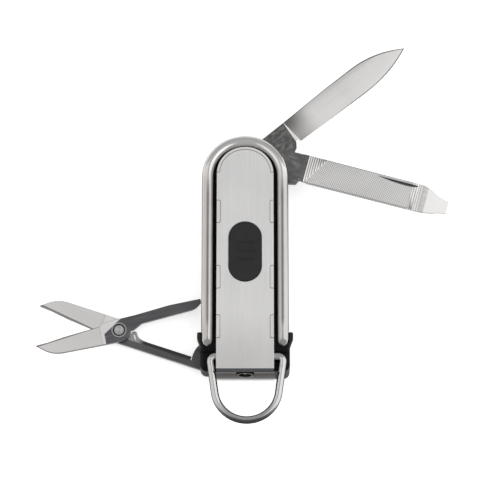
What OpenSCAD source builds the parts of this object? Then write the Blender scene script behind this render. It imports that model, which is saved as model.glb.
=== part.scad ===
// Key-ring multi tool with a light: a knife blade, a nail file with a screwdriver tip and folding scissors
// under a flat light box, inside a bent round bar, with a wire key ring at one end.
// The tool lies on its back. +Z is its thickness, +Y points to the round end and +X is to the right,
// where the blade and the file swing out. The origin is the middle of the back face.

/* [Light box] */
// Length of the front cover
cover_l = 57; // [50:0.5:66]
// Width of the front cover
cover_w = 14; // [13.8:0.1:16]
// Sheet thickness of the front cover
cover_t = 0.8; // [0.6:0.1:1]
// Sheet thickness of the box walls
wall_t = 0.6; // [0.4:0.1:0.6]
// Height of the light box above the chassis deck
box_h = 3.2; // [3.1:0.1:4]
// Length of each finger of the wall that shows in the cover
finger_l = 5.7; // [3:0.1:7]
// Width of each finger
finger_w = 0.85; // [0.6:0.05:1.1]
// Distances of the fingers' middles from the ring end
finger_from_end = [10.6, 23.2, 40.1];

/* [Round bar frame] */
// Diameter of the bar
bar_d = 3; // [2.4:0.1:3.2]
// Gap between the light box and the bar
bar_gap = 0.7; // [0.5:0.1:1.2]
// Distance of the legs' downward bend from the ring end
leg_from_end = 7.2; // [7:0.05:9]
// Centreline radius of the legs' downward bend
leg_bend_r = 1.6; // [1.6:0.1:1.9]
// Thickness of the ears outside the legs
ear_wall = 1; // [0.8:0.1:1.4]

/* [Layers] */
// Thickness of the back plate
plate_t = 0.8; // [0.6:0.1:1.2]
// Width of the back plate and the liners
plate_w = 17.2; // [16.6:0.1:18]
// Thickness of one half of the scissors
scissor_t = 1; // [0.8:0.1:1.2]
// Thickness of the liners
liner_t = 0.4; // [0.3:0.1:0.6]
// Thickness of the knife blade
blade_t = 1.3; // [1:0.1:1.6]
// Thickness of the nail file
file_t = 1.1; // [0.9:0.1:1.4]
// Thickness of the chassis deck
deck_t = 1.5; // [1.5:0.1:2.2]
// Thickness of the deck's floor under the electronics and under the bar
deck_floor = 0.7; // [0.5:0.1:0.7]
// Height of the end lip of the back plate
lip_h = 7.4; // [5.2:0.1:7.4]
// Width of the end lip
lip_w = 14.6; // [13:0.1:15]

/* [Knife blade and nail file] */
// Pivot of the blade and the file: distance to the right of the middle
tool_pivot_x = 3.6; // [3:0.1:4]
// Pivot of the blade and the file: distance above the arch's centre
tool_pivot_up = 3.5; // [3:0.1:4]
// Direction in which the knife blade points, from +X
blade_angle = 38.9; // [-60:0.1:90]
// Direction in which the nail file points, from +X
file_angle = -15.1; // [-60:0.1:90]
// Gap between the folded blade's tip and the block at the ring end
blade_tip_room = 0.7; // [0.5:0.1:1.5]
// Length of the block at the ring end
end_block_l = 3.45; // [3.4:0.05:3.9]
// How much shorter the nail file is than the blade
file_shorter = 1.4; // [1:0.1:6]
// Distance of the blade's spine from its pivot
spine_y = 6.4; // [5.5:0.1:6.5]
// Distance of the blade's edge below its pivot
edge_y = 0.8; // [0.4:0.1:1]
// Radius of the round tangs
tang_r = 4.2; // [3.6:0.1:4.4]
// Radius of the pivot pins
pin_r = 1.1; // [0.9:0.05:1.3]

/* [Scissors] */
// Fold pivot of the scissors: distance to the left of the middle
fold_pivot_x = 6.5; // [6.2:0.1:6.8]
// Fold pivot of the scissors: distance from the ring end
fold_from_end = 3.85; // [3.8:0.05:4.6]
// Direction in which the fixed half points, from +X
fold_angle = 161.4; // [100:0.1:180]
// Angle by which the moving half is open
scissor_open = 30; // [10:0.5:32]
// Distance from the fold pivot to the rivet
rivet_dist = 25.9; // [22:0.1:27]
// Length of the blades beyond the rivet
scissor_blade_l = 20.8; // [16:0.1:21]
// Radius of the rivet's shank
rivet_r = 1.25; // [1:0.05:1.5]
// Half width of the scissors when they are closed
scissor_hw = 3; // [2.6:0.1:3]
// Width of the arms
arm_w = 1.6; // [1.4:0.1:2]
// Thickness of the leaf spring between the arms
leaf_t = 0.85; // [0.5:0.05:1]

/* [Key ring] */
// Diameter of the ring's wire
ring_d = 1.85; // [1.4:0.05:1.9]
// Distance of the ring's hinge line from the ring end
ring_from_end = 3.6; // [3.2:0.1:4.4]
// Centreline radius of the ring's round end
ring_r = 7.8; // [6:0.1:8]
// Distance from the hinge line to the centre of the round end
ring_reach = 8.1; // [7.5:0.1:12]
// Centreline radius of the bends beside the hinge
ring_bend_r = 1.3; // [1:0.1:1.6]
// Gap between the light box's side and the outermost wire of the ring
ring_side_gap = 0.875; // [0.7:0.025:1.2]
// How far the ring's side play lets it lie to the right
ring_shift = 0.4; // [0:0.1:0.4]

/* [Light] */
// Width of the button
button_w = 8; // [6:0.1:9]
// Length of the button
button_l = 15.3; // [12:0.1:17]
// Distance of the button's middle from the coin cell's middle
button_from_cell = 14.9; // [14.7:0.1:16]
// Height by which the button stands above the cover
button_proud = 0.35; // [0:0.05:0.6]
// Travel of the button
button_travel = 0.5; // [0.3:0.05:0.5]
// Diameter of the lamp
lamp_d = 3; // [2.4:0.1:3.2]
// Height of the lamp's axis above the back face
lamp_z = 4.9; // [4.8:0.05:5.2]
// Diameter of the coin cell
cell_d = 12.5; // [9.5:0.1:12.5]
// Thickness of the coin cell
cell_t = 1.6; // [1.2:0.1:1.6]
// Distance of the coin cell's middle below the arch's centre
cell_below_arch = 5.4; // [5:0.1:5.6]
// Thickness of the circuit board
board_t = 0.6; // [0.4:0.1:0.6]

/* [Clearances] */
// Gap between layers that slide past each other
layer_gap = 0.1; // [0.08:0.01:0.12]
// Radial clearance of a pin or a wire in its hole
fit = 0.04; // [0.02:0.01:0.08]
// Gap round pieces that are set into others
seam = 0.05; // [0.03:0.01:0.1]
// Gap that shows between the cover and the walls' fingers
finger_gap = 0.1; // [0.05:0.01:0.15]

/* [Hidden] */
$fn = 96;
eps = 0.01;

// Heights of the layers
z_fixed = plate_t + layer_gap;
z_moving = z_fixed + scissor_t + layer_gap;
z_liner1 = z_moving + scissor_t + layer_gap;
z_blade = z_liner1 + liner_t + layer_gap;
z_liner2 = z_blade + blade_t + layer_gap;
z_file = z_liner2 + liner_t + layer_gap;
z_deck = z_file + file_t + layer_gap;
z_floor = z_deck + deck_floor;
z_box = z_deck + deck_t;
z_top = z_box + box_h;
z_cover = z_top - cover_t;
bar_z = z_floor + bar_d / 2;
ring_z = z_box + ring_d / 2 + layer_gap;

// Places in the plan
bar_x = cover_w / 2 + bar_gap + bar_d / 2;
y_end = -(cover_l + bar_gap + bar_d) / 2;
y_arc = y_end + cover_l - cover_w / 2;
leg_y = y_end + leg_from_end;
tool_pivot = [tool_pivot_x, y_arc + tool_pivot_up];
fold_pivot = [-fold_pivot_x, y_end + fold_from_end];
rivet = fold_pivot + rivet_dist * [cos(fold_angle), sin(fold_angle)];
ring_y = y_end + ring_from_end;
ring_half_w = cover_w / 2 + ring_side_gap + ring_d / 2;
cell_y = y_arc - cell_below_arch;
button_y = cell_y - button_from_cell;
lip_t = 0.6;

// Sizes that only the hidden pieces have
eye_r = 2.2;
spring_w = 2.2;
small_pin_r = 0.8;
block_w = 2 * (bar_x + bar_d / 2 + 0.2);
ear_top_y = leg_y + 2.55;
ear_side_l = 1.5;
ear_l = 3.6;
collar_h = 0.9;
inner_hw = cover_w / 2 - wall_t;
block_y = y_end + end_block_l;
blade_tip_y = 2.4;
blade_l = sqrt(pow(tool_pivot.y - block_y - blade_tip_room, 2) - pow(blade_tip_y, 2));
file_l = blade_l - file_shorter;
lamp_block_hw = 2.4;
lamp_back_y = y_end + 4.95;
bezel_r = lamp_d / 2 + 0.55;
lead_x = 1.27;
lead_r = 0.25;
lead_y = lamp_back_y + 0.5;
top_pin_at = [-4.5, y_arc + 4.8];
tool_spring_pin_at = [-7.2, y_arc - 15.7];
scissors_spring_pin_at = [2.4, y_arc - 19.7];
screw_at = [6.2, y_end + 2.1];

// Points of a cubic curve between p0 and p3, with p1 and p2 as its handles
function curve(p0, p1, p2, p3, n = 10) =
    [for (i = [0:n]) let (t = i / n, s = 1 - t)
        s * s * s * p0 + 3 * s * s * t * p1 + 3 * s * t * t * p2 + t * t * t * p3];

// A plate with a round end at the arch and a square end at y_low
module arch_plate(half_w, y_low) {
    translate([0, y_arc]) circle(r = half_w);
    translate([-half_w, y_low]) square([2 * half_w, y_arc - y_low]);
}

// A stadium that stands along Y
module stadium(w, l) {
    for (s = [-1, 1]) translate([0, s * (l - w) / 2]) circle(d = w);
    square([w, l - w], center = true);
}

// A straight bar with round ends between two points of the plan
module rounded_bar(a, b, w) {
    d = b - a;
    translate(a) circle(d = w);
    translate(b) circle(d = w);
    translate(a) rotate(atan2(d.y, d.x)) translate([0, -w / 2]) square([norm(d), w]);
}

module at_tool(angle) translate(tool_pivot) rotate(angle) children();

module at_fixed_half() translate(rivet) rotate(fold_angle) children();

module at_moving_half() translate(rivet) rotate(fold_angle + scissor_open) children();

// Holes for the two pins that pass through every layer
module pin_holes(clear = fit) {
    translate(tool_pivot) circle(r = pin_r + clear);
    translate(fold_pivot) circle(r = pin_r + clear);
}

module top_pin_hole() translate(top_pin_at) circle(r = small_pin_r + fit);

// ---------- back plate, liners and chassis ----------

// The steel back, with a lip turned up across the ring end and a notch in the lip for the lamp
module back_plate() color([0.72, 0.71, 0.69]) {
    corner = 1.4;
    difference() {
        linear_extrude(plate_t) difference() {
            union() {
                arch_plate(plate_w / 2, y_end + 2.4);
                translate([-lip_w / 2 + corner, y_end]) square([lip_w - 2 * corner, 3]);
            }
            pin_holes();
            top_pin_hole();
            translate(scissors_spring_pin_at) circle(r = small_pin_r + fit);
            translate(screw_at) circle(r = small_pin_r + fit);
        }
        translate([screw_at.x, screw_at.y, -eps]) cylinder(h = 0.45 + eps, r = 1.4 + fit);
    }
    translate([0, y_end + lip_t, 0]) rotate([90, 0, 0]) linear_extrude(lip_t) difference() {
        union() {
            translate([-lip_w / 2, corner]) square([lip_w, lip_h - corner]);
            translate([-lip_w / 2 + corner, 0]) square([lip_w - 2 * corner, corner + eps]);
            for (s = [-1, 1]) translate([s * (lip_w / 2 - corner), corner]) circle(r = corner);
        }
        translate([0, lamp_z]) circle(r = bezel_r + 2 * seam);
        translate([-bezel_r - 2 * seam, lamp_z]) square([2 * bezel_r + 4 * seam, lip_h]);
    }
}

// A thin steel sheet between two layers, notched for the lamp and for the end block
module liner(z) {
    translate([0, 0, z]) linear_extrude(liner_t) difference() {
        arch_plate(plate_w / 2, y_end + 1.3);
        translate([-lamp_block_hw - 0.2, y_end]) square([plate_w, block_y - y_end + 0.15]);
        translate([-lamp_block_hw - 0.2, y_end]) square([2 * lamp_block_hw + 0.4, lead_y - y_end + 0.6]);
        pin_holes();
        top_pin_hole();
        translate(tool_spring_pin_at) circle(r = small_pin_r + fit);
    }
}

module rear_liner() color([0.62, 0.61, 0.6]) difference() {
    liner(z_liner1);
    translate([scissors_spring_pin_at.x, scissors_spring_pin_at.y, z_liner1 - eps])
        cylinder(h = liner_t + 2 * eps, r = small_pin_r + fit);
}

module middle_liner() color([0.62, 0.61, 0.6]) liner(z_liner2);

// The space that the round bar takes, with a clearance
module bar_space(clear) {
    r = bar_d / 2 + clear;
    translate([0, y_arc, bar_z]) rotate_extrude(angle = 180) translate([bar_x, 0]) circle(r = r);
    for (s = [-1, 1]) {
        translate([s * bar_x, y_arc, bar_z]) rotate([90, 0, 0]) cylinder(h = y_arc - leg_y - leg_bend_r, r = r);
        translate([s * bar_x, leg_y + leg_bend_r, bar_z - leg_bend_r]) rotate([90, 0, -90])
            rotate_extrude(angle = 90) translate([leg_bend_r, 0]) circle(r = r);
    }
}

// Plan of the right ear, which stands outside a leg of the bar and tapers to the block's side
module ear() {
    corner = 0.4;
    x_out = bar_x + bar_d / 2 + ear_wall;
    polygon([[bar_x, ear_top_y], [x_out - corner, ear_top_y], [x_out, ear_top_y - corner],
             [x_out, ear_top_y - ear_side_l], [block_w / 2, ear_top_y - ear_l], [bar_x, ear_top_y - ear_l]]);
    translate([x_out - corner, ear_top_y - corner]) circle(r = corner);
}

// Plan of the chassis: the deck under the bar, the ears beside its legs and the square ring end
module chassis_plan() {
    corner = 1.6;
    arch_plate(bar_x, leg_y);
    for (s = [0, 1]) mirror([s, 0]) ear();
    translate([-block_w / 2, y_end + corner]) square([block_w, leg_y - y_end - corner]);
    translate([-block_w / 2 + corner, y_end + 0.15]) square([block_w - 2 * corner, 4]);
    for (s = [-1, 1]) translate([s * (block_w / 2 - corner), y_end + corner + 0.15]) circle(r = corner);
}

// Part of the chassis below the deck that closes the ring end and holds the lamp
module end_block() {
    intersection() {
        translate([0, 0, z_fixed]) linear_extrude(z_deck - z_fixed + eps) chassis_plan();
        union() {
            translate([-block_w / 2, y_end, z_liner1]) cube([block_w, 1.2, z_deck]);
            translate([-block_w / 2, y_end, z_liner1]) cube([1.5, leg_y - y_end - 1, z_deck]);
            translate([-lamp_block_hw, y_end, z_liner1]) cube([2 * lamp_block_hw, lamp_back_y - y_end, z_deck]);
            translate([0, y_end, z_liner1]) cube([block_w / 2, block_y - y_end, z_deck]);
            translate([lamp_block_hw, y_end, z_fixed]) cube([block_w / 2 - lamp_block_hw, block_y - y_end, z_deck]);
        }
    }
}

// The black moulding: it carries the bar in a groove and the electronics in a recess
module chassis() color([0.07, 0.07, 0.075]) difference() {
    collar_hw = bar_d / 2 + ear_wall + eps;
    union() {
        translate([0, 0, z_deck]) linear_extrude(deck_t) chassis_plan();
        translate([0, 0, z_box - eps]) linear_extrude(collar_h + eps) intersection() {
            chassis_plan();
            for (s = [-1, 1]) translate([s * bar_x - collar_hw, leg_y - 2.1])
                square([2 * collar_hw, ear_top_y - leg_y + 2.1 + eps]);
        }
        end_block();
    }
    bar_space(seam);
    // room above the bar's bend, and the light box's footprint above the deck
    for (s = [-1, 1]) translate([s * bar_x - bar_d / 2 - seam, leg_y, bar_z])
        cube([bar_d + 2 * seam, ear_top_y - leg_y + 1, 4]);
    translate([0, 0, z_box]) linear_extrude(box_h) arch_plate(cover_w / 2 + seam, y_end - 1);
    translate([0, 0, z_floor]) linear_extrude(box_h) arch_plate(inner_hw, ring_y + 1.2);
    // the lip's seat, the bezel's seat, the lamp's bore, its flange pocket and the slot for its leads
    translate([-lip_w / 2 - seam, y_end - 1, 0]) cube([lip_w + 2 * seam, 1 + lip_t + seam, lip_h + seam]);
    translate([0, y_end - 1, lamp_z]) rotate([-90, 0, 0]) {
        cylinder(h = 1 + lip_t + seam, r = bezel_r + seam);
        cylinder(h = 8, r = lamp_d / 2 + seam);
    }
    translate([0, lamp_back_y - 1, lamp_z]) rotate([-90, 0, 0]) cylinder(h = 2, r = lamp_d / 2 + 0.45);
    translate([-lead_x - 0.5, lead_y - 0.5, z_deck - eps]) cube([2 * lead_x + 1, 1, deck_t]);
    // pins and screw
    translate([0, 0, z_deck - eps]) linear_extrude(deck_t) {
        pin_holes();
        top_pin_hole();
        translate(tool_spring_pin_at) circle(r = small_pin_r + fit);
    }
    translate([screw_at.x, screw_at.y, z_fixed - eps]) cylinder(h = 4, r = small_pin_r + fit);
}

// The round bar, bent to an arch, with its legs turned down into the chassis
module wire_frame() color([0.75, 0.74, 0.72]) bar_space(0);

// ---------- light box ----------

// Plan of the fingers, with round inner corners
module finger_spans(extra) {
    r = 0.4;
    w = finger_w + extra;
    l = finger_l + 2 * extra;
    for (d = finger_from_end, s = [0, 1]) mirror([s, 0]) translate([cover_w / 2 - w, y_end + d - l / 2]) {
        translate([0, r]) square([w, l - 2 * r]);
        translate([r, 0]) square([w - r, l]);
        for (u = [r, l - r]) translate([r, u]) circle(r = r);
    }
}

module arch_rim(extra) difference() {
    intersection() {
        arch_plate(cover_w / 2, y_end);
        translate([-cover_w, y_arc + 0.4 - extra]) square([2 * cover_w, cover_w]);
    }
    arch_plate(inner_hw - extra, y_end);
}

// Box walls: one strip bent round, with fingers that reach up into the cover
module box_walls() color([0.7, 0.69, 0.67]) difference() {
    union() {
        translate([0, 0, z_box]) linear_extrude(z_cover - z_box) difference() {
            arch_plate(cover_w / 2, y_end);
            arch_plate(inner_hw, y_end + wall_t);
        }
        translate([0, 0, z_cover - eps]) linear_extrude(cover_t + eps) {
            finger_spans(0);
            arch_rim(0);
        }
    }
    translate([-cover_w, ring_y, ring_z]) rotate([0, 90, 0]) cylinder(h = 2 * cover_w, r = ring_d / 2 + 2 * fit);
}

// The front cover, notched for the walls' fingers, with the button's window
module cover_plate() color([0.78, 0.77, 0.75]) translate([0, 0, z_cover]) linear_extrude(cover_t) difference() {
    arch_plate(cover_w / 2, y_end);
    finger_spans(finger_gap);
    arch_rim(finger_gap);
    translate([0, button_y]) stadium(button_w + 4 * seam, button_l + 4 * seam);
}

button_flange = 0.5;
flange_z = z_cover - 0.9;
plunger_z = flange_z - 0.3;
// The oval push button, with a flange under the cover and a plunger over the switch
module button() color([0.12, 0.12, 0.12]) translate([0, button_y, 0]) difference() {
    union() {
        translate([0, 0, flange_z]) linear_extrude(z_top + button_proud - flange_z) stadium(button_w, button_l);
        translate([0, 0, flange_z]) linear_extrude(0.7) stadium(button_w + button_flange, button_l + button_flange);
        translate([0, 0, plunger_z]) cylinder(h = 0.3 + eps, r = 1.3);
    }
    // three shallow grip lines
    for (s = [-1, 0, 1]) translate([-2, s * 2.2 - 0.25, z_top + button_proud - 0.15]) cube([4, 0.5, 1]);
}

z_board = z_floor + seam;
z_parts = z_board + board_t;

// The switch under the button's plunger; the plunger stops just above it at full travel
module dome_switch() color([0.8, 0.78, 0.7]) translate([0, button_y, z_parts]) {
    translate([-2.2, -2.2, 0]) cube([4.4, 4.4, 0.35]);
    cylinder(h = plunger_z - button_travel - layer_gap - z_parts, r = 1.5);
}

module circuit_board() color([0.1, 0.32, 0.16]) translate([0, 0, z_board]) linear_extrude(board_t) difference() {
    arch_plate(inner_hw - 0.2, ring_y + 1.4);
    for (s = [-1, 1]) translate([s * lead_x, lead_y]) circle(r = lead_r + 0.1);
}

z_cell = z_parts + 0.2;
module coin_cell() color([0.8, 0.79, 0.76]) translate([0, cell_y, z_cell]) {
    cylinder(h = cell_t - 0.3, r = cell_d / 2);
    cylinder(h = cell_t, r = cell_d / 2 - 0.4);
}

// The strap that presses the cell down, and the contact that lies under it
module cell_clip() color([0.8, 0.68, 0.4]) {
    strap_w = 3;
    clip_t = 0.2;
    reach = cell_d / 2 + 0.15;
    translate([-strap_w / 2, cell_y - reach - clip_t, z_cell + cell_t]) cube([strap_w, 2 * (reach + clip_t), clip_t]);
    for (y = [cell_y - reach - clip_t, cell_y + reach])
        translate([-strap_w / 2, y, z_parts]) cube([strap_w, clip_t, z_cell + cell_t - z_parts + eps]);
    translate([0, cell_y, z_parts]) cylinder(h = z_cell - z_parts, r = 3);
}

// The lamp: a clear body with a round nose and a flange at its back
module lamp() color([0.9, 0.93, 0.95]) translate([0, 0, lamp_z]) rotate([90, 0, 0]) {
    nose_y = -(y_end + 0.3 + lamp_d / 2);
    translate([0, 0, -lamp_back_y]) cylinder(h = 0.9, r = lamp_d / 2 + 0.4);
    translate([0, 0, -lamp_back_y]) cylinder(h = nose_y + lamp_back_y, r = lamp_d / 2);
    translate([0, 0, nose_y]) sphere(d = lamp_d);
}

module lamp_leads() color([0.75, 0.75, 0.72]) for (s = [-1, 1]) {
    translate([s * lead_x, lamp_back_y, lamp_z]) rotate([-90, 0, 0]) cylinder(h = lead_y - lamp_back_y, r = lead_r);
    translate([s * lead_x, lead_y, lamp_z]) sphere(r = lead_r);
    translate([s * lead_x, lead_y, lamp_z]) cylinder(h = z_parts + 0.25 - lamp_z, r = lead_r);
}

// The bright ring that is set round the lamp's nose
module lamp_bezel() color([0.7, 0.7, 0.7]) translate([0, y_end + lip_t, lamp_z]) rotate([90, 0, 0]) difference() {
    cylinder(h = lip_t, r = bezel_r);
    translate([0, 0, -1]) cylinder(h = 3, r = lamp_d / 2 + seam);
}

// ---------- key ring ----------

// The ring: hinge stubs, bends, legs that are tangent to the bends, and the round end
module key_ring() color([0.82, 0.82, 0.81]) translate([ring_shift, ring_y, ring_z]) {
    bend_at = [ring_half_w - ring_bend_r, -ring_bend_r];
    centre = [0, -ring_reach];
    d = bend_at - centre;
    lean = atan2(d.y, d.x) - acos((ring_r - ring_bend_r) / norm(d));
    leg_l = sqrt(d * d - pow(ring_r - ring_bend_r, 2));
    stub_in = inner_hw - 0.9;
    bead_d = ring_d + 0.03;
    normal = [cos(lean), sin(lean)];
    translate(centre) rotate(180 - lean) rotate_extrude(angle = 180 + 2 * lean)
        translate([ring_r, 0]) circle(d = ring_d);
    for (s = [0, 1]) mirror([s, 0, 0]) {
        translate([stub_in, 0, 0]) rotate([0, 90, 0]) cylinder(h = bend_at.x - stub_in, d = ring_d);
        translate(bend_at) rotate(lean) rotate_extrude(angle = 90 - lean)
            translate([ring_bend_r, 0]) circle(d = ring_d);
        translate(bend_at + ring_bend_r * normal) rotate([90, 0, lean]) cylinder(h = leg_l, d = ring_d);
        // slight beads where the stretches meet
        for (q = [bend_at + ring_bend_r * normal, centre + ring_r * normal, [bend_at.x, 0]])
            translate(q) sphere(d = bead_d);
    }
}

// ---------- knife blade, nail file and their springs ----------

heel_x = 12.6;
// Outline of the knife blade along its own +X, with its spine up
module blade_outline() {
    tip = [blade_l, blade_tip_y];
    polygon(concat(
        [[heel_x, spine_y - 0.5], [blade_l - 23, spine_y]],
        curve([blade_l - 14, spine_y + 0.1], [blade_l - 8, spine_y + 0.1], [blade_l - 3.6, spine_y - 1.9], tip),
        curve(tip, [blade_l - 3.6, 0.9], [blade_l - 8, -edge_y + 0.05], [blade_l - 15.5, -edge_y]),
        [[heel_x + 0.45, -edge_y + 0.27], [heel_x + 0.15, 0.02], [heel_x, 0.02]]));
}

// Outline of a round tang that widens to the tool's heel, whose underside has its corners at low
module tang_outline(low, top) {
    circle(r = tang_r);
    polygon(concat([[0, tang_r], [5.6, top - 0.15], [heel_x + eps, top], [heel_x + eps, low[0].y]], low,
                   [[0, -tang_r]]));
}

module knife_blade() color([0.8, 0.8, 0.79]) translate([0, 0, z_blade]) at_tool(blade_angle) difference() {
    edge_t = 0.2;
    union() {
        linear_extrude(blade_t) tang_outline([[11.9, 0.02], [10.95, -1.3], [10, -1.8]], spine_y - 0.5);
        // flat-ground: full thickness at the spine and thin at the edge
        intersection() {
            linear_extrude(blade_t) blade_outline();
            rotate([90, 0, 90]) linear_extrude(blade_l + 5)
                polygon([[spine_y + 1, 0], [spine_y + 1, blade_t], [spine_y - 1.4, blade_t],
                         [-edge_y - 0.1, (blade_t + edge_t) / 2], [-edge_y - 0.1, (blade_t - edge_t) / 2],
                         [spine_y - 1.4, 0]]);
        }
    }
    translate([0, 0, -1]) cylinder(h = blade_t + 2, r = pin_r + fit);
}

// Outline of the nail file, with a narrower screwdriver tip
file_top = 5.95;
file_low = -1.1;
module file_outline() {
    neck = file_l - 5.6;
    polygon(concat(
        [[heel_x - 2.5, file_top + 0.2], [neck - 13, file_top]],
        curve([neck - 2, file_top], [neck, file_top], [neck + 1.5, 4.9], [neck + 3, 4]),
        [[file_l, 3.4], [file_l, 0.2], [file_l - 2, -0.1]],
        curve([file_l - 2.2, -0.15], [file_l - 3.6, -0.9], [neck - 1, file_low], [neck - 3, file_low]),
        [[heel_x, file_low + 0.05], [heel_x - 1.1, file_low + 0.25]]));
}

module nail_file() color([0.66, 0.65, 0.64]) translate([0, 0, z_file]) at_tool(file_angle) difference() {
    union() {
        linear_extrude(file_t) tang_outline([[11.4, -0.85], [10.5, -0.75], [9.8, -2]], file_top + 0.2);
        // the screwdriver tip is thinned from both faces
        intersection() {
            linear_extrude(file_t) file_outline();
            rotate([90, 0, 0]) translate([0, 0, -20]) linear_extrude(40)
                polygon([[0, 0], [file_l - 6.5, 0], [file_l + 0.1, 0.25], [file_l + 0.1, file_t - 0.25],
                         [file_l - 6.5, file_t], [0, file_t]]);
        }
    }
    // nail-cleaner groove in the front face, straight above and bellied below
    translate([file_l - 18.6, file_top - 0.6, file_t - 0.4]) linear_extrude(1)
        polygon(curve([10.4, 0], [9.6, -0.95], [6, -0.95], [0, 0.05]));
    translate([0, 0, -1]) cylinder(h = file_t + 2, r = pin_r + fit);
}

// A flat spring on the left that bears on a tang from below: eye at the fold pin, nose at the tang
module tool_backspring(z, t) {
    nose_x = tool_pivot.x - tang_r - 0.15;
    x_out = -plate_w / 2 + 0.2;
    translate([0, 0, z]) linear_extrude(t) difference() {
        union() {
            translate(fold_pivot) circle(r = eye_r);
            translate([x_out, fold_pivot.y]) square([spring_w, y_arc - 3 - fold_pivot.y]);
            polygon([[x_out, y_arc - 3.01], [x_out + spring_w, y_arc - 4.5], [nose_x, tool_pivot.y - 3.4],
                     [nose_x, tool_pivot.y], [nose_x - 1.4, tool_pivot.y], [x_out + 2.4, y_arc + 1.2]]);
        }
        translate(fold_pivot) circle(r = pin_r + fit);
        translate(tool_spring_pin_at) circle(r = small_pin_r + fit);
        translate(top_pin_at) circle(r = small_pin_r + 0.3);
    }
}

module blade_backspring() color([0.6, 0.6, 0.59]) tool_backspring(z_blade, blade_t);

module file_backspring() color([0.6, 0.6, 0.59]) tool_backspring(z_file, file_t);

// ---------- pins and screw ----------

module pin(at, r, z_high) translate([at.x, at.y, 0]) cylinder(h = z_high, r = r);

module tool_pin() color([0.7, 0.7, 0.69]) pin(tool_pivot, pin_r, z_floor);

module scissors_pin() color([0.7, 0.7, 0.69]) pin(fold_pivot, pin_r, z_floor);

module top_pin() color([0.7, 0.7, 0.69]) pin(top_pin_at, small_pin_r, z_floor);

module tool_spring_pin() color([0.7, 0.7, 0.69]) translate([0, 0, z_liner1])
    pin(tool_spring_pin_at, small_pin_r, z_floor - z_liner1);

module scissors_spring_pin() color([0.7, 0.7, 0.69])
    pin(scissors_spring_pin_at, small_pin_r, z_liner1 + liner_t);

// A countersunk screw through the back plate into the end block, with a straight slot
module end_screw() color([0.7, 0.7, 0.69]) translate([screw_at.x, screw_at.y, 0]) difference() {
    union() {
        cylinder(h = 0.45, r = 1.4);
        cylinder(h = z_fixed + 3.5, r = small_pin_r);
    }
    rotate(25) translate([-2, -0.2, -eps]) cube([4, 0.4, 0.25]);
}

// ---------- scissors ----------

// A half's blade: beyond the rivet, back on side -1 and edge on side 1, along its own +X
module scissor_blade(side) mirror([0, side < 0 ? 1 : 0]) {
    l = scissor_blade_l;
    tip = [l, 0.1];
    polygon(concat(
        [[0.9, -scissor_hw], [l - 7, -scissor_hw]],
        curve([l - 6.6, -scissor_hw], [l - 4.4, -scissor_hw], [l - 3, -2.4], [l - 1.4, -1.1], 8),
        [tip, [l - 3, 0.3], [l - 7.5, 0.95], [4.5, 1.75], [3.9, 2.5], [-0.4, 2.85], [-1.6, 0.4], [-1.2, -2.2]]));
}

boss_r = scissor_hw - 0.1;
heel_r = 6.75;
arm_out = scissor_hw - 0.05;
arm_in = arm_out - arm_w;

// Sides of the fixed half's arm, from the boss to the tang
module fixed_arm() polygon([[-rivet_dist, arm_out], [-rivet_dist, arm_in], [-2.4, arm_in], [0.5, 0.2],
                            [0.5, arm_out]]);

// Tang: a sector about the fold pivot between the half's two sides
module fold_tang() intersection() {
    circle(r = heel_r);
    translate([-0.5, -scissor_hw]) square([heel_r + 1, scissor_hw + arm_out - 0.03]);
}

// The moving half's arm, on the other side of the rivet
module moving_arm() polygon(concat(
    [[1.5, 0.3], [1.4, -2], [-1, -2.85], [-4.3, -scissor_hw], [-13.3, -3.85], [-21.2, -3.95]],
    curve([-21.2, -2.95], [-20.4, -2.3], [-19.8, -1.7], [-18.6, -1.5], 6),
    [[-14.3, -1.15], [-5.8, -0.55], [-4.7, 0.1], [-3.7, 0.6], [-2.1, 0.8], [0.6, 1.9]]));

// The half that carries the tang and the leaf spring
module scissors_fixed_half() color([0.42, 0.41, 0.4]) translate([0, 0, z_fixed]) at_fixed_half() difference() {
    union() {
        linear_extrude(scissor_t) scissor_blade(1);
        cylinder(h = scissor_t, r = boss_r);
        linear_extrude(scissor_t) fixed_arm();
        translate([-rivet_dist, 0, 0]) linear_extrude(scissor_t) fold_tang();
        translate([-rivet_dist, 0, 0]) cylinder(h = scissor_t, r = arm_out - 0.06);
    }
    translate([-rivet_dist, 0, -1]) cylinder(h = scissor_t + 2, r = pin_r + fit);
    translate([0, 0, -1]) cylinder(h = scissor_t + 2, r = rivet_r);
}

// The half that turns about the rivet
module scissors_moving_half() color([0.42, 0.41, 0.4]) translate([0, 0, z_moving]) at_moving_half() difference() {
    union() {
        linear_extrude(scissor_t) scissor_blade(-1);
        cylinder(h = scissor_t, r = boss_r);
        linear_extrude(scissor_t) moving_arm();
    }
    translate([0, 0, -1]) cylinder(h = scissor_t + 2, r = rivet_r + fit);
}

// The rivet fills the fixed half and is a running fit in the moving one
module scissors_rivet() color([0.8, 0.8, 0.79]) translate([0, 0, z_fixed]) at_fixed_half()
    cylinder(h = 2 * scissor_t + layer_gap, r = rivet_r);

// The leaf spring between the arms: it lies on the fixed arm and its hooked end stands beside the boss
module scissors_leaf_spring() color([0.75, 0.74, 0.72]) translate([0, 0, z_fixed + 0.15]) at_fixed_half()
    linear_extrude(scissor_t - 0.3) difference() {
        y_arm = arm_in - seam;
        y_low = y_arm - leaf_t;
        left = boss_r + 0.15;
        polygon(concat(
            [for (a = [154, 166, 178, 190]) left * [cos(a), sin(a)]],
            curve([-left - 0.1, -0.9], [-3.6, -1.4], [-4.2, -1.3], [-4.5, -0.7], 6),
            curve([-4.6, -0.5], [-5.1, 0.2], [-6, y_low], [-7.6, y_low]),
            [[-rivet_dist + 6.9, y_low], [-rivet_dist + 6.9, y_arm]]));
        rounded_bar([-3.75, -0.35], [-4.5, 0.65], 0.25);
    }

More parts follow.
